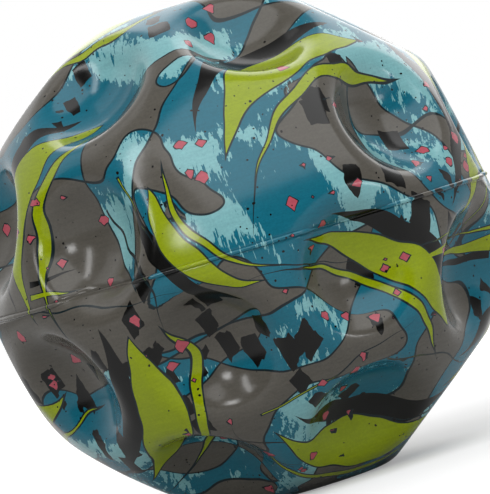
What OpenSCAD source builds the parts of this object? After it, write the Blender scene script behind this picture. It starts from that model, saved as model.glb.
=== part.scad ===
// Crater bounce ball: a springy foam core inside two printed film skins that are bonded along the
// mould's parting line by a raised bead. Round craters cover the ball, and one place is left plain.
// The origin is the ball's centre, +Z is the axis of the mould, and the plain pad faces -Y.

/* [Ball] */
// Diameter of the ball over its ridges
ball_d = 65; // [50:0.5:90]
// Thickness of each printed film skin
skin_t = 0.8; // [0.6:0.1:1.2]

/* [Craters] */
// Depth of a crater below the ball's surface
crater_depth = 5; // [4:0.1:5.5]
// Radius that rounds a crater's rim
lip_r = 3.5; // [2:0.1:4]
// Plain strip that is left between the nearest two craters
ridge_w = 0.3; // [0.2:0.1:3]
// Longitude of the crater that is nearest to the upper pole on the front
pattern_turn = 25; // [-60:1:60]

/* [Seam] */
// Width of the bead that bonds the two skins
bead_w = 0.6; // [0.4:0.1:0.9]
// How far the bead stands proud of the skins
bead_proud = 0.25; // [0.1:0.05:0.4]

/* [Hidden] */
$fn = 96;

ball_r = ball_d / 2;
crater_floor = ball_r - crater_depth;

// The same pattern repeats round the axis this often, and the lower half is the upper one turned over
repeats = 3;
repeat_turn = 360 / repeats;
half_turn = repeat_turn / 2;

// The craters lie at the middles of the 12 pentagons and 20 hexagons of a stitched football that
// stands on a hexagon. These are their latitudes, half the turn between two hexagons of the belt,
// and the angle between the nearest two middles.
pent_polar_lat = 90 - acos(sqrt((5 + 2 * sqrt(5)) / 15));
hex_polar_lat = 90 - acos(sqrt(5) / 3);
pent_belt_lat = 90 - acos(sqrt((5 - 2 * sqrt(5)) / 15));
hex_belt_lat = 90 - acos(1 / 3);
belt_spread = half_turn - acos(sqrt(5 / 8));
nearest_turn = 90 - pent_polar_lat;

// The lip is a ring that lies against the ball at the edge of the plain strip, and the bowl is a ball
// that lies against the lip and the crater's floor; each contact with the lip bites in by this little
lip_bite = 0.03;
lip_turn = nearest_turn / 2 - asin(ridge_w / ball_d);
lip_point = (ball_r - lip_r + lip_bite) * [sin(lip_turn), cos(lip_turn)];
lip_gap = lip_r - lip_bite;
lip_rise = lip_point[1] - crater_floor;
bowl_r = (lip_point[0] * lip_point[0] + lip_rise * lip_rise - lip_gap * lip_gap)
    / (2 * (lip_gap + lip_rise));
bowl_centre = crater_floor + bowl_r;

// How far past the lip's centre the crater's cut runs, as a share of its distance from the origin
lip_clear = 1.25;

// Half section of what a crater takes away: the bowl, and the strip over its rounded lip
module crater_section(inset) {
    intersection() {
        translate([0, bowl_centre])
            circle(r = bowl_r + inset);
        translate([0, bowl_centre - 2 * bowl_r])
            square([2 * bowl_r, 4 * bowl_r]);
    }
    difference() {
        polygon([[0, bowl_centre], lip_point, lip_clear * lip_point]);
        translate(lip_point)
            circle(r = lip_r - inset);
    }
}

// What one crater takes away, at a latitude and a longitude that starts from -Y
module crater(lat, lon, inset) {
    rotate([90 - lat, 0, lon])
        rotate_extrude()
            crater_section(inset);
}

// Craters that lie alike above the seam for side 1 and below it for side -1
module half_craters(side, turn, inset) {
    crater(90 * side, 0, inset);
    for (i = [0 : repeats - 1]) {
        crater(side * pent_polar_lat, turn + i * repeat_turn, inset);
        crater(side * hex_polar_lat, turn + half_turn + i * repeat_turn, inset);
        crater(side * pent_belt_lat, turn + half_turn + i * repeat_turn, inset);
        crater(side * hex_belt_lat, turn + belt_spread + i * repeat_turn, inset);
    }
}

// Every crater of the ball, for a surface that lies this far inside the outer one; the place of
// one belt crater on the front is left plain
module craters(inset) {
    half_craters(1, pattern_turn, inset);
    half_craters(-1, pattern_turn + half_turn, inset);
    for (i = [0 : repeats - 1]) {
        if (i > 0) crater(hex_belt_lat, pattern_turn - belt_spread + i * repeat_turn, inset);
        crater(-hex_belt_lat, pattern_turn + half_turn - belt_spread + i * repeat_turn, inset);
    }
}

// The cratered ball, drawn in by an inset that is the same over the whole surface
module cratered_ball(inset) {
    difference() {
        sphere(r = ball_r - inset);
        craters(inset);
    }
}

// One printed film half, above the seam for side 1 and below it for side -1
module half_skin(side) {
    intersection() {
        difference() {
            cratered_ball(0);
            cratered_ball(skin_t);
        }
        translate([-ball_d, -ball_d, side > 0 ? bead_w / 2 : -ball_d - bead_w / 2])
            cube([2 * ball_d, 2 * ball_d, ball_d]);
    }
}

// Springy foam that fills the two skins
module foam_core() {
    color([0.86, 0.83, 0.74])
        cratered_ball(skin_t);
}

// Printed film over the upper half, with the plain pad in its front
module upper_skin() {
    color([0.19, 0.45, 0.52])
        half_skin(1);
}

// Printed film over the lower half
module lower_skin() {
    color([0.35, 0.34, 0.32])
        half_skin(-1);
}

// Raised line of cured foam that bonds the two skins edge to edge and dips with them into craters
module seam_bead() {
    color([0.28, 0.30, 0.30])
        intersection() {
            difference() {
                cratered_ball(-bead_proud);
                cratered_ball(skin_t);
            }
            translate([-ball_d, -ball_d, -bead_w / 2])
                cube([2 * ball_d, 2 * ball_d, bead_w]);
        }
}

foam_core();
upper_skin();
lower_skin();
seam_bead();
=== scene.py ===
"""Crater bounce ball: a foam core, two printed film skins and the bead along their seam."""

import math

import bpy
from mathutils import Matrix, Vector, noise


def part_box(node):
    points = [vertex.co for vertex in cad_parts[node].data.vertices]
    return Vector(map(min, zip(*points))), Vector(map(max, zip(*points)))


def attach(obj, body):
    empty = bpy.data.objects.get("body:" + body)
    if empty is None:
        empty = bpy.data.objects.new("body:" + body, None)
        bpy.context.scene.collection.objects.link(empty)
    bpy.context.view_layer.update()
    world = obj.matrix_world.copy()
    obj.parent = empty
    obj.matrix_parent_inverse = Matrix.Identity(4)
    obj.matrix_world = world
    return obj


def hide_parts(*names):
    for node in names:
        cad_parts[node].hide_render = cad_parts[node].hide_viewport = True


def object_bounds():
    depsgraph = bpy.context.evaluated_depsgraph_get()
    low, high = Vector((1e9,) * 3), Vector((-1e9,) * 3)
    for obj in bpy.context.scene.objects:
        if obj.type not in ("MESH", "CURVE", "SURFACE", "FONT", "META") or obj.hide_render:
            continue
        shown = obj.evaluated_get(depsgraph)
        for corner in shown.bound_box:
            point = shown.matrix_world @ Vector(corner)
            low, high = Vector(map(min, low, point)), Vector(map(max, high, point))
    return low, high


bl_info = {
    "name": "Crater Bounce Ball",
    "version": (1, 0, 0),
    "blender": (4, 5, 0),
    "location": "View3D > Sidebar > Bounce Ball",
    "description": "Builds a crater bounce ball over its CAD frame, with printed skins and a studio stage",
    "category": "Add Mesh",
}

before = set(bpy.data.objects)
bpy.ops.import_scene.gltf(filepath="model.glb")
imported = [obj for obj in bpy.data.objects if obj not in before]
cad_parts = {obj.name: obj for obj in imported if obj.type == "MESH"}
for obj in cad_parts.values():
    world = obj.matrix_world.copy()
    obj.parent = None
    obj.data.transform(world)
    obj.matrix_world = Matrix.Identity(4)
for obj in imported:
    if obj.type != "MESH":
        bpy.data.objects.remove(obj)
CAD_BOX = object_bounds()
CORE_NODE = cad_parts["foam_core"]
CORE_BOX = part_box("foam_core")
SKIN_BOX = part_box("upper_skin")
BEAD_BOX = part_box("seam_bead")

SKIN_T = SKIN_BOX[1].z - CORE_BOX[1].z
BEAD_R = (BEAD_BOX[1].z - BEAD_BOX[0].z) / 2
BALL_R = SKIN_BOX[1].y
FLOOR_Z = CAD_BOX[0].z

# The ball is blown up past the CAD core, so that it can be drawn in onto it from outside
BLOWN_R = BALL_R * 1.05

# Share by which the bead's radius varies, and the scale of the noise that varies it, in cells per metre
BEAD_UNEVEN = 0.25
BEAD_WAVES = 260

MM_PER_METRE = 1000.0

# How much the film's streaks add to the height of its peel
STREAK_RELIEF = 0.12

# Inks of the print, in the names of its sockets
INKS = ("Ground", "Teal", "Pale", "Lime", "Pink", "Black", "Outline")

# Brush strokes of the print: latitude, longitude and heading in degrees, then half length, half width
# and bend in millimetres
BRUSHES = (
    (40, 22, 25, 13, 3.2, 4.5),
    (-34, -34, 62, 12, 2.8, -4.0),
    (-12, 36, -40, 11, 2.2, 3.5),
    (22, -56, 75, 12, 2.7, 4.0),
    (-60, 22, -15, 12, 2.6, -3.5),
    (2, -12, 125, 9, 1.8, 3.0),
    (12, 74, 70, 12, 2.8, -4.0),
    (-38, 84, 10, 11, 2.4, 3.5),
    (66, -60, 40, 11, 2.4, -3.0),
    (34, 124, 15, 13, 3.1, 4.0),
    (-16, 130, 65, 12, 2.7, -4.0),
    (50, 178, -30, 11, 2.6, 3.5),
    (-4, 176, 40, 13, 2.9, 4.0),
    (-52, 160, -10, 12, 2.6, -3.5),
    (22, -118, -60, 12, 2.8, 4.0),
    (-26, -96, 20, 12, 2.6, 3.5),
    (-64, -120, 50, 11, 2.4, -3.0),
)

# Large pointed flames in which ground and teal change places, given in the same way
FLAMES = (
    (30, -24, 70, 16, 4.2, 5.0),
    (-22, 6, 15, 15, 4.0, -5.0),
    (6, 52, 115, 15, 4.2, 4.0),
    (-50, -62, -25, 14, 4.0, 5.0),
    (58, 70, 5, 15, 4.2, -5.0),
    (2, -92, 80, 15, 4.0, 5.0),
    (18, 152, 35, 16, 4.5, -5.0),
    (-34, -150, 60, 15, 4.2, 5.0),
    (-54, 112, 120, 14, 4.0, 4.0),
)

# How much fuller a stroke is towards its front, and where its thread and its shadow lie beside it and
# how wide they are, as shares of its own width
STROKE_SWELL = 0.45
THREAD_SIDE = 1.6
THREAD_SHARE = 0.2
SHADOW_SIDE = -1.45
SHADOW_SHARE = 0.6

# Level of the swirling field at which teal begins, the step over which its slope is taken, in
# millimetres, and the least slope that counts
TEAL_LEVEL = 0.472
SLOPE_STEP = 0.15
LEAST_SLOPE = 0.004

# Dry brushing: how strongly its hairs show, the levels between which it takes ink, and how it fades at
# the edge of the teal, in millimetres
HAIR_SHARE = 0.32
BRUSHED_FROM = 0.555
BRUSHED_FULL = 0.565
BRUSHED_FADE = 0.1

# Dark lines of the print in millimetres: half the line at the edge of the teal, and the lines round
# bubbles, strokes and chips
TEAL_LINE = 0.16
BUBBLE_LINE = 0.25
STROKE_LINE = 0.22
CHIP_LINE = 0.18

# Softness of the inks' edges, and how far bubbles keep inside the teal, in millimetres
TEAL_EDGE = 0.05
LINE_EDGE = 0.06
STROKE_EDGE = 0.03
CHIP_EDGE = 0.02
BUBBLE_MARGIN = 0.6

# Lamps as the camera sees them: how far right, up and near they hang, their width and height in metres
# and their power in watts. All hang at the same distance from the ball.
LAMPS = (
    ("key", 0.1, 0.8, 0.58, 1.1, 0.7, 6.2),
    ("fill", -0.4, 0.1, 0.9, 0.12, 0.1, 0.6),
    ("strip", -0.72, 0.38, 0.57, 0.09, 0.46, 1.2),
    ("right", 0.82, 0.15, 0.52, 0.14, 0.16, 0.9),
    ("left", -0.85, 0.5, 0.0, 0.3, 0.6, 0.5),
    ("back", 0.1, 0.65, -0.75, 0.9, 0.7, 3.5),
)
LAMP_DISTANCE = 0.7

# Light of the room on the ball, and what gloss mirrors of it in front of the ball and behind it
ROOM_LIGHT = 0.12
ROOM_FRONT = 0.03
ROOM_BACK = 1.0

FLOOR_RADIUS = 4.0

# Camera: sensor and focal length in millimetres, and a sideways shift of 4 pixels, as a share of the
# picture's longer side
SENSOR = 36
LENS = 350.5
FRAME_SHIFT = 4 / 494


def srgb(red, green, blue):
    """A colour written as 0 to 255 screen values, as linear numbers."""
    levels = (red / 255, green / 255, blue / 255)
    return tuple(v / 12.92 if v <= 0.04045 else ((v + 0.055) / 1.055) ** 2.4 for v in levels)


class BallSizes(bpy.types.PropertyGroup):
    """Sizes of the formed ball."""

    cells: bpy.props.IntProperty(
        name="Cells",
        description="Even number of cells along each side of the cube that the ball is blown up from",
        default=100,
    )
    softening: bpy.props.IntProperty(
        name="Softening",
        description="Smoothing passes that round the ridges between craters",
        default=8,
    )
    skin: bpy.props.FloatProperty(
        name="Skin", description="Thickness of the printed film", default=SKIN_T, unit="LENGTH"
    )
    bead: bpy.props.FloatProperty(
        name="Bead", description="Radius of the bead along the seam", default=BEAD_R, unit="LENGTH"
    )


class BallColours(bpy.types.PropertyGroup):
    """Inks of the print and the colour under it."""

    ground: bpy.props.FloatVectorProperty(
        name="Ground",
        description="Warm grey ground of the print",
        subtype="COLOR",
        default=srgb(77, 74, 68),
    )
    teal: bpy.props.FloatVectorProperty(
        name="Teal",
        description="Large tongues over the ground",
        subtype="COLOR",
        default=srgb(16, 90, 108),
    )
    pale: bpy.props.FloatVectorProperty(
        name="Pale teal",
        description="Dry brushing over the teal",
        subtype="COLOR",
        default=srgb(110, 158, 162),
    )
    lime: bpy.props.FloatVectorProperty(
        name="Lime",
        description="Pointed brush strokes and the thread beside each",
        subtype="COLOR",
        default=srgb(126, 141, 4),
    )
    pink: bpy.props.FloatVectorProperty(
        name="Pink",
        description="Small chips with a dark edge",
        subtype="COLOR",
        default=srgb(158, 70, 82),
    )
    black: bpy.props.FloatVectorProperty(
        name="Black",
        description="Shadows of the brush strokes, chips and specks",
        subtype="COLOR",
        default=srgb(8, 8, 7),
    )
    outline: bpy.props.FloatVectorProperty(
        name="Outline",
        description="Thin lines round the tongues, bubbles, strokes and pink chips",
        subtype="COLOR",
        default=srgb(16, 29, 33),
    )
    foam: bpy.props.FloatVectorProperty(
        name="Foam",
        description="Core under the film",
        subtype="COLOR",
        default=srgb(226, 219, 200),
    )


class StageSettings(bpy.types.PropertyGroup):
    """Place of the camera in the studio."""

    distance: bpy.props.FloatProperty(
        name="Distance", description="Camera to the ball's centre", default=0.6, unit="LENGTH"
    )
    elevation: bpy.props.FloatProperty(
        name="Elevation",
        description="Height of the camera over the seam",
        default=math.radians(0.7),
        subtype="ANGLE",
    )
    roll: bpy.props.FloatProperty(
        name="Roll",
        description="Lean of the ball's axis in the picture",
        default=math.radians(16.7),
        subtype="ANGLE",
    )


class Shader:
    """Adds nodes to a tree by kind, with their inputs given as values or as sockets to join."""

    def __init__(self, tree):
        self.tree = tree

    def join(self, value, target):
        """Links a socket to an input, or sets a plain value on it."""
        if isinstance(value, bpy.types.NodeSocket):
            self.tree.links.new(value, target)
        else:
            target.default_value = value

    def node(self, kind, inputs=(), **settings):
        """A node of this kind; inputs pairs a socket's name or number with a value or a socket."""
        made = self.tree.nodes.new(kind)
        for key, value in settings.items():
            setattr(made, key, value)
        for key, value in dict(inputs).items():
            self.join(value, made.inputs[key])
        return made

    def math(self, operation, a, b=0.0, c=0.0):
        """One sum on values or sockets."""
        return self.node("ShaderNodeMath", {0: a, 1: b, 2: c}, operation=operation).outputs[0]

    def vector(self, operation, a, b=(0, 0, 0)):
        """One sum on vectors."""
        return self.node("ShaderNodeVectorMath", {0: a, 1: b}, operation=operation).outputs[0]

    def scaled(self, vector, factor):
        """A vector or a colour times a factor."""
        settings = {0: vector, "Scale": factor}
        return self.node("ShaderNodeVectorMath", settings, operation="SCALE").outputs[0]

    def length(self, vector):
        """The length of a vector."""
        return self.node("ShaderNodeVectorMath", {0: vector}, operation="LENGTH").outputs["Value"]

    def mapped(self, where, rotation, scale, kind="POINT"):
        """A place turned and stretched by a Mapping node."""
        settings = {"Vector": where, "Rotation": rotation, "Scale": scale}
        return self.node("ShaderNodeMapping", settings, vector_type=kind).outputs[0]

    def noise(self, where, scale, detail=0.0, roughness=0.5, output="Fac"):
        """Soft noise at a scale in cells per millimetre."""
        settings = {"Vector": where, "Scale": scale, "Detail": detail, "Roughness": roughness}
        return self.node("ShaderNodeTexNoise", settings, noise_dimensions="3D").outputs[output]

    def ramp(self, value, low, high, bottom=0.0, top=1.0, kind="SMOOTHSTEP"):
        """The bottom value below low, the top one above high and a ramp between them."""
        settings = {"Value": value, "From Min": low, "From Max": high, "To Min": bottom, "To Max": top}
        return self.node("ShaderNodeMapRange", settings, interpolation_type=kind).outputs[0]

    def mix(self, factor, a, b):
        """Colour a where the factor is 0 and colour b where it is 1."""
        return self.node("ShaderNodeMix", {0: factor, 6: a, 7: b}, data_type="RGBA").outputs[2]


def new_material(name):
    """An empty node material with its Principled shader, and a builder for its nodes."""
    material = bpy.data.materials.new(name)
    material.use_nodes = True
    return material, Shader(material.node_tree), material.node_tree.nodes["Principled BSDF"]


def new_group(name, inputs, outputs):
    """An empty shader node group with these sockets, a builder for it, and its two ends."""
    group = bpy.data.node_groups.new(name, "ShaderNodeTree")
    for label, kind in inputs:
        group.interface.new_socket(label, in_out="INPUT", socket_type=kind)
    for label, kind in outputs:
        group.interface.new_socket(label, in_out="OUTPUT", socket_type=kind)
    shader = Shader(group)
    return group, shader, shader.node("NodeGroupInput").outputs, shader.node("NodeGroupOutput").inputs


def rgba(colour):
    """A property's colour with full alpha."""
    return (*colour, 1.0)


def millimetres(shader):
    """Object coordinates in millimetres."""
    return shader.scaled(shader.node("ShaderNodeTexCoord").outputs["Object"], MM_PER_METRE)


def shifted(shader, where, offset):
    """The same place moved along, so that two noises don't match."""
    return shader.vector("ADD", where, offset)


def stretched(shader, where, scale, strength, detail=0.0):
    """The place pushed about by soft noise, so that shapes drawn there swirl."""
    push = shader.noise(where, scale, detail, output="Color")
    push = shader.vector("SUBTRACT", push, (0.5, 0.5, 0.5))
    return shader.vector("ADD", where, shader.scaled(push, strength))


def teal_field():
    """Node group: a swirling field that has one level along the edge of the teal."""
    group, shader, given, result = new_group(
        "Teal field", [("Place", "NodeSocketVector")], [("Field", "NodeSocketFloat")]
    )
    swirl = stretched(shader, given["Place"], 1 / 15, strength=17.0)
    lean = shader.mapped(swirl, rotation=(0.5, 0.35, 0.9), scale=(0.55, 1.2, 1.2))
    shader.join(shader.noise(lean, 1 / 16, detail=0.6, roughness=0.4), result["Field"])
    return group


def swirl_depth(shader, where):
    """Distance inside the field's teal in millimetres, from the field and its slope on the surface."""
    field = teal_field()
    values = []
    for offset in ((0, 0, 0), (SLOPE_STEP, 0, 0), (0, SLOPE_STEP, 0), (0, 0, SLOPE_STEP)):
        made = shader.node("ShaderNodeGroup", node_tree=field)
        shader.join(shifted(shader, where, offset), made.inputs["Place"])
        values.append(made.outputs[0])
    slope = [shader.math("DIVIDE", shader.math("SUBTRACT", v, values[0]), SLOPE_STEP) for v in values[1:]]
    slope = shader.node("ShaderNodeCombineXYZ", dict(enumerate(slope))).outputs[0]
    outward = shader.vector("NORMALIZE", where)
    slope = shader.vector("SUBTRACT", slope, shader.vector("PROJECT", slope, outward))
    steep = shader.length(slope)
    rise = shader.math("SUBTRACT", values[0], TEAL_LEVEL)
    return shader.math("DIVIDE", rise, shader.math("MAXIMUM", steep, LEAST_SLOPE))


def brush_stroke():
    """Node group: distance inside a bent stroke with pointed ends, its thread and its shadow, in mm."""
    group, shader, given, result = new_group(
        "Brush stroke",
        [
            ("Place", "NodeSocketVector"),
            ("Turn", "NodeSocketVector"),
            ("Reach", "NodeSocketVector"),
            ("Width", "NodeSocketFloat"),
            ("Bend", "NodeSocketFloat"),
        ],
        [("Stroke", "NodeSocketFloat"), ("Thread", "NodeSocketFloat"), ("Shadow", "NodeSocketFloat")],
    )
    local = shader.mapped(given["Place"], given["Turn"], given["Reach"], kind="TEXTURE")
    along, across, over = shader.node("ShaderNodeSeparateXYZ", {0: local}).outputs
    square = shader.math("MULTIPLY", along, along)
    taper = shader.math("MULTIPLY", shader.math("SUBTRACT", 1.0, square), given["Width"])
    taper = shader.math("MULTIPLY", taper, shader.math("MULTIPLY_ADD", along, STROKE_SWELL, 1.0))
    off = shader.math("MULTIPLY_ADD", square, given["Bend"], across)
    stroke = shader.math("SUBTRACT", taper, shader.math("ABSOLUTE", off))
    beside = shader.math("ABSOLUTE", shader.math("MULTIPLY_ADD", given["Width"], THREAD_SIDE, off))
    thread = shader.math("SUBTRACT", shader.math("MULTIPLY", taper, THREAD_SHARE), beside)
    beside = shader.math("ABSOLUTE", shader.math("MULTIPLY_ADD", given["Width"], SHADOW_SIDE, off))
    shadow = shader.math("SUBTRACT", shader.math("MULTIPLY", taper, SHADOW_SHARE), beside)
    # The last limit keeps a stroke off the far side of the ball
    for label, depth in (("Stroke", stroke), ("Thread", thread), ("Shadow", shadow)):
        shader.join(shader.math("MINIMUM", depth, over), result[label])
    return group


def strokes(shader, where, group, table, wanted):
    """Distance inside the nearest of a table's strokes, for each output of the group that is wanted."""
    nearest = {}
    for lat, lon, heading, reach, width, bend in table:
        turn = Matrix.Rotation(math.radians(lon), 3, "Z") @ Matrix.Rotation(math.radians(90 - lat), 3, "X")
        turn = turn @ Matrix.Rotation(math.radians(heading), 3, "Z")
        made = shader.node("ShaderNodeGroup", node_tree=group)
        shader.join(where, made.inputs["Place"])
        made.inputs["Turn"].default_value = turn.to_euler()
        made.inputs["Reach"].default_value = (reach, 1, 1)
        made.inputs["Width"].default_value = width
        made.inputs["Bend"].default_value = bend
        for label in wanted:
            out = made.outputs[label]
            nearest[label] = shader.math("MAXIMUM", nearest[label], out) if label in nearest else out
    return [nearest[label] for label in wanted]


def scattered(shader, where, scale, keep, sizes, drifts=None, metric="EUCLIDEAN", loose=0.95):
    """Scattered chips: how far inside one a place is, in millimetres, and 1 in the cells that hold one.

    Sizes are the least and the largest, in cells. Drifts are the offset, scale and level of a noise that
    gathers the chips.
    """
    small, large = sizes
    settings = {"Vector": where, "Scale": scale, "Randomness": loose}
    cells = shader.node("ShaderNodeTexVoronoi", settings, distance=metric)
    pick = shader.node("ShaderNodeSeparateColor", {0: cells.outputs["Color"]}).outputs
    chosen = shader.math("GREATER_THAN", pick[0], 1 - keep)
    if drifts:
        offset, drift_scale, level = drifts
        drift = shader.noise(shifted(shader, cells.outputs["Position"], offset), drift_scale)
        chosen = shader.math("MULTIPLY", chosen, shader.math("GREATER_THAN", drift, level))
    size = shader.math("MULTIPLY_ADD", pick[1], large - small, small)
    depth = shader.math("SUBTRACT", size, cells.outputs["Distance"])
    return shader.math("DIVIDE", depth, scale), chosen


def inked(shader, depth, edge, line=0.0):
    """1 inside a shape that is widened by a line, with an edge this soft."""
    return shader.ramp(depth, -line, edge - line)


def inked_chips(shader, chips, edge, line=0.0):
    """1 inside scattered chips that are widened by a line."""
    depth, chosen = chips
    return shader.math("MULTIPLY", inked(shader, depth, edge, line), chosen)


def tongues(shader, where, drawn, stroke):
    """Distance inside the teal tongues; inside the flames, ground and teal have changed places."""
    swirl = swirl_depth(shader, where)
    (flame,) = strokes(shader, drawn, stroke, FLAMES, ("Stroke",))
    kept = shader.math("MINIMUM", swirl, shader.math("MULTIPLY", flame, -1.0))
    changed = shader.math("MINIMUM", shader.math("MULTIPLY", swirl, -1.0), flame)
    return shader.math("MAXIMUM", kept, changed)


def with_bubbles(shader, colour, inks, where, teal):
    """Adds outlined bubbles of ground inside the teal."""
    ragged = stretched(shader, where, 1 / 2.5, strength=2.2, detail=3.0)
    ragged = shifted(shader, ragged, (9, 9, 40))
    depth, chosen = scattered(shader, ragged, 1 / 9, keep=0.35, sizes=(0.14, 0.3), loose=0.35)
    depth = shader.math("MINIMUM", depth, shader.math("SUBTRACT", teal, BUBBLE_MARGIN))
    bubbles = (depth, chosen)
    colour = shader.mix(inked_chips(shader, bubbles, STROKE_EDGE, BUBBLE_LINE), colour, inks["Outline"])
    return shader.mix(inked_chips(shader, bubbles, STROKE_EDGE), colour, inks["Ground"])


def with_dry_brush(shader, colour, inks, where, teal):
    """Adds pale dry brushing over the teal, and the dark line along the teal's edge."""
    hairs = shader.mapped(where, rotation=(0.4, 0.5, 0.0), scale=(1.7, 0.9, 0.3))
    hairs = shader.noise(hairs, 1.0, detail=3.0, roughness=0.7)
    brushed = shifted(shader, stretched(shader, where, 1 / 14, strength=14.0), (-20, 44, 3))
    brushed = shader.noise(brushed, 1 / 13, detail=2.0)
    brushed = shader.math("MULTIPLY_ADD", shader.math("SUBTRACT", hairs, 0.5), HAIR_SHARE, brushed)
    brushed = shader.ramp(brushed, BRUSHED_FROM, BRUSHED_FULL)
    brushed = shader.math("MULTIPLY", brushed, inked(shader, teal, BRUSHED_FADE))
    colour = shader.mix(brushed, colour, inks["Pale"])
    line = shader.math("SUBTRACT", TEAL_LINE, shader.math("ABSOLUTE", teal))
    return shader.mix(inked(shader, line, LINE_EDGE), colour, inks["Outline"])


def with_black_chips(shader, colour, inks, rough):
    """Adds drifts of black chips."""
    turned = shader.mapped(rough, rotation=(0.7, 0.2, 0.5), scale=(1.0, 1.0, 0.55))
    drifts = ((-63, 8, 27), 1 / 16, 0.55)
    chips = scattered(shader, turned, 1 / 3.2, 0.55, (0.2, 0.42), drifts, metric="CHEBYCHEV")
    return shader.mix(inked_chips(shader, chips, CHIP_EDGE), colour, inks["Black"])


def with_brush_strokes(shader, colour, inks, drawn, stroke):
    """Adds the outlined lime strokes, each with a thread and a black shadow."""
    lime, thread, shadow = strokes(shader, drawn, stroke, BRUSHES, ("Stroke", "Thread", "Shadow"))
    lime = shader.math("MAXIMUM", lime, thread)
    colour = shader.mix(inked(shader, shadow, STROKE_EDGE), colour, inks["Black"])
    colour = shader.mix(inked(shader, lime, STROKE_EDGE, STROKE_LINE), colour, inks["Outline"])
    return shader.mix(inked(shader, lime, STROKE_EDGE), colour, inks["Lime"])


def with_pink_chips(shader, colour, inks, rough):
    """Adds drifts of outlined pink chips."""
    drifts = ((10, 82, -36), 1 / 14, 0.55)
    where = shifted(shader, rough, (3, 8, -5))
    chips = scattered(shader, where, 1 / 2.8, 0.75, (0.2, 0.42), drifts, metric="MANHATTAN")
    colour = shader.mix(inked_chips(shader, chips, CHIP_EDGE, CHIP_LINE), colour, inks["Outline"])
    return shader.mix(inked_chips(shader, chips, CHIP_EDGE), colour, inks["Pink"])


def with_specks(shader, colour, inks, rough):
    """Adds drifts of fine black specks."""
    drifts = ((-8, -23, 71), 1 / 9, 0.5)
    specks = scattered(shader, rough, 1 / 0.8, 0.5, (0.05, 0.24), drifts)
    return shader.mix(inked_chips(shader, specks, CHIP_EDGE), colour, inks["Black"])


def splash_print():
    """Node group: the printed design, in inks that are its inputs."""
    group, shader, given, result = new_group(
        "Splash print",
        [("Place", "NodeSocketVector")] + [(ink, "NodeSocketColor") for ink in INKS],
        [("Colour", "NodeSocketColor")],
    )
    where = given["Place"]
    rough = stretched(shader, where, 1 / 1.4, strength=0.5, detail=1.0)
    drawn = stretched(shader, where, 1 / 8, strength=3.2, detail=1.0)
    stroke = brush_stroke()
    teal = tongues(shader, where, drawn, stroke)
    colour = shader.mix(shader.ramp(teal, -TEAL_EDGE, TEAL_EDGE), given["Ground"], given["Teal"])
    colour = with_bubbles(shader, colour, given, where, teal)
    colour = with_dry_brush(shader, colour, given, where, teal)
    colour = with_black_chips(shader, colour, given, rough)
    colour = with_brush_strokes(shader, colour, given, drawn, stroke)
    colour = with_pink_chips(shader, colour, given, rough)
    colour = with_specks(shader, colour, given, rough)
    shader.join(colour, result["Colour"])
    return group


def film_grain():
    """Node group: fine streaks, mottling and peel of drawn film, as a tone, a roughness and a height."""
    group, shader, given, result = new_group(
        "Film grain",
        [("Place", "NodeSocketVector")],
        [("Tone", "NodeSocketFloat"), ("Roughness", "NodeSocketFloat"), ("Height", "NodeSocketFloat")],
    )
    where = given["Place"]
    drawn_out = shader.vector("MULTIPLY", where, (0.3, 0.3, 3.0))
    streak = shader.noise(drawn_out, 1.2, detail=4.0, roughness=0.7)
    peel = shader.noise(where, 0.7, detail=2.0)
    mottle = shader.math("ADD", streak, shader.noise(where, 3.5, detail=2.0, roughness=0.6))
    tone = shader.ramp(mottle, 0.7, 1.3, bottom=0.88, top=1.12, kind="LINEAR")
    rough = shader.ramp(streak, 0.0, 1.0, bottom=0.13, top=0.2, kind="LINEAR")
    shader.join(tone, result["Tone"])
    shader.join(rough, result["Roughness"])
    shader.join(shader.math("MULTIPLY_ADD", streak, STREAK_RELIEF, peel), result["Height"])
    return group


def printed_material(name, inks, bump, gloss):
    """Satin film in the printed design."""
    material, shader, surface = new_material(name)
    where = millimetres(shader)
    print_group = bpy.data.node_groups.get("Splash print") or splash_print()
    grain_group = bpy.data.node_groups.get("Film grain") or film_grain()
    design = shader.node("ShaderNodeGroup", node_tree=print_group)
    grain = shader.node("ShaderNodeGroup", node_tree=grain_group)
    for made in (design, grain):
        shader.join(where, made.inputs["Place"])
    for ink in INKS:
        design.inputs[ink].default_value = rgba(getattr(inks, ink.lower()))
    toned = shader.scaled(design.outputs["Colour"], grain.outputs["Tone"])
    shader.join(toned, surface.inputs["Base Color"])
    shader.join(grain.outputs["Roughness"], surface.inputs["Roughness"])
    relief = {"Strength": bump, "Distance": 0.0002, "Height": grain.outputs["Height"]}
    shader.join(shader.node("ShaderNodeBump", relief).outputs[0], surface.inputs["Normal"])
    surface.inputs["Specular IOR Level"].default_value = gloss
    return material


def foam_material(inks):
    """Pale closed-cell foam."""
    material, shader, surface = new_material("Foam")
    cells = shader.node("ShaderNodeTexVoronoi", {"Vector": millimetres(shader), "Scale": 2.2})
    depth = cells.outputs["Distance"]
    dark = [level * 0.8 for level in inks.foam]
    colour = shader.mix(shader.ramp(depth, 0.1, 0.7), rgba(inks.foam), rgba(dark))
    shader.join(colour, surface.inputs["Base Color"])
    surface.inputs["Roughness"].default_value = 0.85
    relief = {"Strength": 0.4, "Distance": 0.0003, "Height": depth}
    shader.join(shader.node("ShaderNodeBump", relief).outputs[0], surface.inputs["Normal"])
    return material


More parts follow.
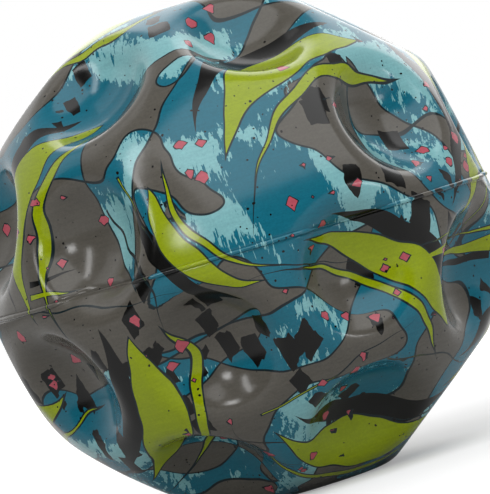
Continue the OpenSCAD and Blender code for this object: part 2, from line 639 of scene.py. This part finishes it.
def floor_material():
    """Pale floor that shows white to the camera, save where the ball shades it."""
    material, shader, surface = new_material("Pale floor")
    surface.inputs["Base Color"].default_value = (0.6, 0.6, 0.6, 1)
    surface.inputs["Roughness"].default_value = 0.9
    surface.inputs["Specular IOR Level"].default_value = 0.0
    reach = shader.length(shader.node("ShaderNodeTexCoord").outputs["Object"])
    reach = shader.ramp(reach, 0.05, 0.5, bottom=0.3, top=1.0, kind="LINEAR")
    seen = shader.math("MULTIPLY", shader.node("ShaderNodeLightPath").outputs["Is Camera Ray"], reach)
    lift = shader.node("ShaderNodeCombineColor", {0: seen, 1: seen, 2: seen})
    shader.join(lift.outputs[0], surface.inputs["Emission Color"])
    surface.inputs["Emission Strength"].default_value = 0.95
    return material


def deselect():
    """Leaves edit mode and clears the selection, because operators act on all that is selected."""
    if bpy.context.object and bpy.context.object.mode != "OBJECT":
        bpy.ops.object.mode_set(mode="OBJECT")
    bpy.ops.object.select_all(action="DESELECT")


def activate(obj):
    """Selects one object alone and makes it the active one."""
    deselect()
    obj.select_set(True)
    bpy.context.view_layer.objects.active = obj


def apply_modifier(obj, kind, **settings):
    """Adds a modifier to an object with these settings and applies it."""
    activate(obj)
    bpy.ops.object.modifier_add(type=kind)
    modifier = obj.modifiers[-1]
    for key, value in settings.items():
        setattr(modifier, key, value)
    bpy.ops.object.modifier_apply(modifier=modifier.name)


def edit_faces(obj, chosen):
    """Opens an object in edit mode with only the chosen faces selected."""
    activate(obj)
    bpy.ops.object.mode_set(mode="EDIT")
    bpy.ops.mesh.select_mode(type="FACE")
    bpy.ops.mesh.select_all(action="DESELECT")
    bpy.ops.object.mode_set(mode="OBJECT")
    obj.data.polygons.foreach_set("select", chosen)
    bpy.ops.object.mode_set(mode="EDIT")


def blown_cube(name, cells):
    """A cube cut into even cells and blown up to a ball, with a ring of edges on the seam."""
    deselect()
    bpy.ops.mesh.primitive_cube_add(size=2, location=(0, 0, 0))
    ball = bpy.context.object
    ball.name = ball.data.name = name
    bpy.ops.object.mode_set(mode="EDIT")
    bpy.ops.mesh.select_all(action="SELECT")
    bpy.ops.mesh.subdivide(number_cuts=cells - 1)
    bpy.ops.object.mode_set(mode="OBJECT")
    for vertex in ball.data.vertices:
        vertex.co = Vector(math.tan(c * math.pi / 4) for c in vertex.co)
    apply_modifier(ball, "CAST", cast_type="SPHERE", factor=1.0, size=BLOWN_R, use_radius_as_size=False)
    return ball


def pressed_ball(name, sizes):
    """A ball drawn in onto the CAD core with its ridges softened, and which faces lie above the seam."""
    ball = blown_cube(name, sizes.cells)
    upper = [face.center.z > 0 for face in ball.data.polygons]
    apply_modifier(
        ball,
        "SHRINKWRAP",
        target=CORE_NODE,
        wrap_method="PROJECT",
        use_negative_direction=True,
        use_positive_direction=False,
    )
    apply_modifier(ball, "SMOOTH", factor=0.5, iterations=sizes.softening)
    activate(ball)
    bpy.ops.object.shade_smooth()
    return ball, upper


def rim_curve(skin):
    """A curve along the open rim of a skin that has no thickness yet."""
    activate(skin)
    bpy.ops.object.duplicate()
    rim = bpy.context.object
    bpy.ops.object.mode_set(mode="EDIT")
    bpy.ops.mesh.select_mode(type="EDGE")
    bpy.ops.mesh.select_all(action="DESELECT")
    bpy.ops.mesh.select_non_manifold()
    bpy.ops.mesh.select_all(action="INVERT")
    bpy.ops.mesh.delete(type="EDGE_FACE")
    bpy.ops.mesh.select_all(action="SELECT")
    bpy.ops.mesh.delete_loose(use_verts=True, use_edges=False, use_faces=False)
    bpy.ops.object.mode_set(mode="OBJECT")
    rim.data.materials.clear()
    bpy.ops.object.convert(target="CURVE")
    return bpy.context.object


class BOUNCE_OT_core(bpy.types.Operator):
    """Form the foam core over the CAD core"""

    bl_idname = "bounce.core"
    bl_label = "Foam Core"

    def execute(self, context):
        core, _ = pressed_ball("soft_foam_core", context.scene.bounce_sizes)
        core.data.materials.append(foam_material(context.scene.bounce_colours))
        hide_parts("foam_core")
        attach(core, "root")
        return {"FINISHED"}


class BOUNCE_OT_skins(bpy.types.Operator):
    """Wrap the core in two printed film halves that meet at the seam"""

    bl_idname = "bounce.skins"
    bl_label = "Printed Skins"

    def execute(self, context):
        sizes = context.scene.bounce_sizes
        film = printed_material("Printed film", context.scene.bounce_colours, bump=0.05, gloss=0.32)
        whole, upper = pressed_ball("printed_film", sizes)
        apply_modifier(whole, "DISPLACE", strength=sizes.skin, mid_level=0.0, direction="NORMAL")
        edit_faces(whole, upper)
        bpy.ops.mesh.region_to_loop()
        bpy.ops.transform.resize(value=(1, 1, 0), center_override=(0, 0, 0))
        edit_faces(whole, upper)
        bpy.ops.mesh.separate(type="SELECTED")
        bpy.ops.object.mode_set(mode="OBJECT")
        top = next(o for o in context.selected_objects if o != whole)
        top.name = top.data.name = "upper_printed_skin"
        whole.name = whole.data.name = "lower_printed_skin"
        for skin, node, slot in ((top, "upper_skin", "upper_film"), (whole, "lower_skin", "lower_film")):
            skin.data.materials.append(film)
            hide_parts(node)
            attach(skin, "root")
        return {"FINISHED"}


class BOUNCE_OT_bead(bpy.types.Operator):
    """Lay the bead of cured foam along the seam of the skins"""

    bl_idname = "bounce.bead"
    bl_label = "Seam Bead"

    def execute(self, context):
        rim = rim_curve(bpy.data.objects["upper_printed_skin"])
        rim.data.bevel_depth = context.scene.bounce_sizes.bead
        rim.data.bevel_resolution = 3
        for spline in rim.data.splines:
            for point in spline.points:
                wave = noise.noise(Vector(point.co[:3]) * BEAD_WAVES)
                point.radius = 1 + BEAD_UNEVEN * wave
        bpy.ops.object.convert(target="MESH")
        bead = context.object
        bead.name = bead.data.name = "flash_bead"
        activate(bead)
        bpy.ops.object.shade_smooth()
        film = printed_material("Printed bead", context.scene.bounce_colours, bump=0.3, gloss=0.35)
        bead.data.materials.append(film)
        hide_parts("seam_bead")
        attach(bead, "root")
        return {"FINISHED"}


class BOUNCE_OT_thickness(bpy.types.Operator):
    """Give both skins the film's thickness, inward onto the core"""

    bl_idname = "bounce.thickness"
    bl_label = "Film Thickness"

    def execute(self, context):
        film = context.scene.bounce_sizes.skin
        for name in ("upper_printed_skin", "lower_printed_skin"):
            apply_modifier(bpy.data.objects[name], "SOLIDIFY", thickness=film, offset=-1.0, use_rim=True)
        return {"FINISHED"}


def lay_floor():
    """A wide round floor under the ball."""
    deselect()
    bpy.ops.mesh.primitive_circle_add(
        vertices=96, radius=FLOOR_RADIUS, fill_type="NGON", location=(0, 0, FLOOR_Z)
    )
    floor = bpy.context.object
    floor.name = "floor"
    bpy.ops.object.transform_apply(location=True)
    floor.data.materials.append(floor_material())


def hang_lamps(roll):
    """Soft lamps round the ball, placed as the rolled camera sees them."""
    right = Vector((math.cos(roll), 0, -math.sin(roll)))
    up = Vector((math.sin(roll), 0, math.cos(roll)))
    front = Vector((0, -1, 0))
    for name, side, rise, near, wide, tall, power in LAMPS:
        spot = (right * side + up * rise + front * near).normalized() * LAMP_DISTANCE
        bpy.ops.object.light_add(type="AREA", location=spot)
        lamp = bpy.context.object
        lamp.name = name
        lamp.data.shape = "RECTANGLE"
        lamp.data.size = wide
        lamp.data.size_y = tall
        lamp.data.energy = power
        lamp.rotation_euler = (-spot).to_track_quat("-Z", "Y").to_euler()
        lamp.visible_camera = False


def light_room(scene):
    """A room that is white to the camera, dim on the ball, and in gloss bright only behind the ball."""
    world = bpy.data.worlds.new("Studio")
    world.use_nodes = True
    scene.world = world
    shader = Shader(world.node_tree)
    background = world.node_tree.nodes["Background"]
    paths = shader.node("ShaderNodeLightPath").outputs
    seen = shader.math("MAXIMUM", paths["Is Camera Ray"], paths["Is Transmission Ray"])
    facing = shader.node("ShaderNodeTexCoord").outputs["Generated"]
    facing = shader.node("ShaderNodeSeparateXYZ", {0: facing}).outputs["Y"]
    room = shader.ramp(facing, -0.5, 0.7, bottom=ROOM_FRONT, top=ROOM_BACK)
    level = shader.ramp(paths["Is Glossy Ray"], 0.0, 1.0, bottom=ROOM_LIGHT, top=room, kind="LINEAR")
    level = shader.ramp(seen, 0.0, 1.0, bottom=level, top=1.0, kind="LINEAR")
    shader.join(level, background.inputs["Strength"])
    background.inputs["Color"].default_value = (1, 1, 1, 1)


def set_camera(scene, stage):
    """A long lens in front of the plain pad, rolled so that the ball's axis leans."""
    lens = bpy.data.cameras.new("camera")
    camera = bpy.data.objects.new("camera", lens)
    scene.collection.objects.link(camera)
    away = Vector((0, -math.cos(stage.elevation), math.sin(stage.elevation)))
    upright = Vector((0, math.sin(stage.elevation), math.cos(stage.elevation)))
    side = Vector((1, 0, 0))
    right = side * math.cos(stage.roll) - upright * math.sin(stage.roll)
    up = side * math.sin(stage.roll) + upright * math.cos(stage.roll)
    turn = Matrix((right, up, away)).transposed()
    camera.matrix_world = Matrix.Translation(away * stage.distance) @ turn.to_4x4()
    lens.sensor_width = SENSOR
    lens.lens = LENS
    lens.clip_start = 0.01
    lens.clip_end = 20
    lens.shift_x = FRAME_SHIFT
    scene.camera = camera


class BOUNCE_OT_stage(bpy.types.Operator):
    """Set the floor, the lights and the camera"""

    bl_idname = "bounce.stage"
    bl_label = "Studio Stage"

    def execute(self, context):
        stage = context.scene.bounce_stage
        lay_floor()
        hang_lamps(stage.roll)
        light_room(context.scene)
        set_camera(context.scene, stage)
        context.scene.view_settings.view_transform = "Standard"
        return {"FINISHED"}


class BOUNCE_PT_panel(bpy.types.Panel):
    """Lists the steps in order, with the sizes, the inks and the camera's place"""

    bl_idname = "BOUNCE_PT_panel"
    bl_label = "Bounce Ball"
    bl_space_type = "VIEW_3D"
    bl_region_type = "UI"
    bl_category = "Bounce Ball"

    def draw(self, context):
        for step in STEPS:
            self.layout.operator(step.bl_idname)
        scene = context.scene
        for group in (scene.bounce_sizes, scene.bounce_colours, scene.bounce_stage):
            for name in group.__annotations__:
                self.layout.prop(group, name)


STEPS = (BOUNCE_OT_core, BOUNCE_OT_skins, BOUNCE_OT_bead, BOUNCE_OT_thickness, BOUNCE_OT_stage)
CLASSES = (BallSizes, BallColours, StageSettings, *STEPS, BOUNCE_PT_panel)


def register():
    """Registers the classes and hangs the settings on the scene."""
    for made in CLASSES:
        bpy.utils.register_class(made)
    bpy.types.Scene.bounce_sizes = bpy.props.PointerProperty(type=BallSizes)
    bpy.types.Scene.bounce_colours = bpy.props.PointerProperty(type=BallColours)
    bpy.types.Scene.bounce_stage = bpy.props.PointerProperty(type=StageSettings)


def unregister():
    """Takes the settings and the classes away again."""
    del bpy.types.Scene.bounce_sizes, bpy.types.Scene.bounce_colours, bpy.types.Scene.bounce_stage
    for made in reversed(CLASSES):
        bpy.utils.unregister_class(made)


def main():
    """Builds the ball and its stage in order."""
    register()
    bpy.ops.bounce.core()
    bpy.ops.bounce.skins()
    bpy.ops.bounce.bead()
    bpy.ops.bounce.thickness()
    bpy.ops.bounce.stage()


if __name__ == "__main__":
    main()
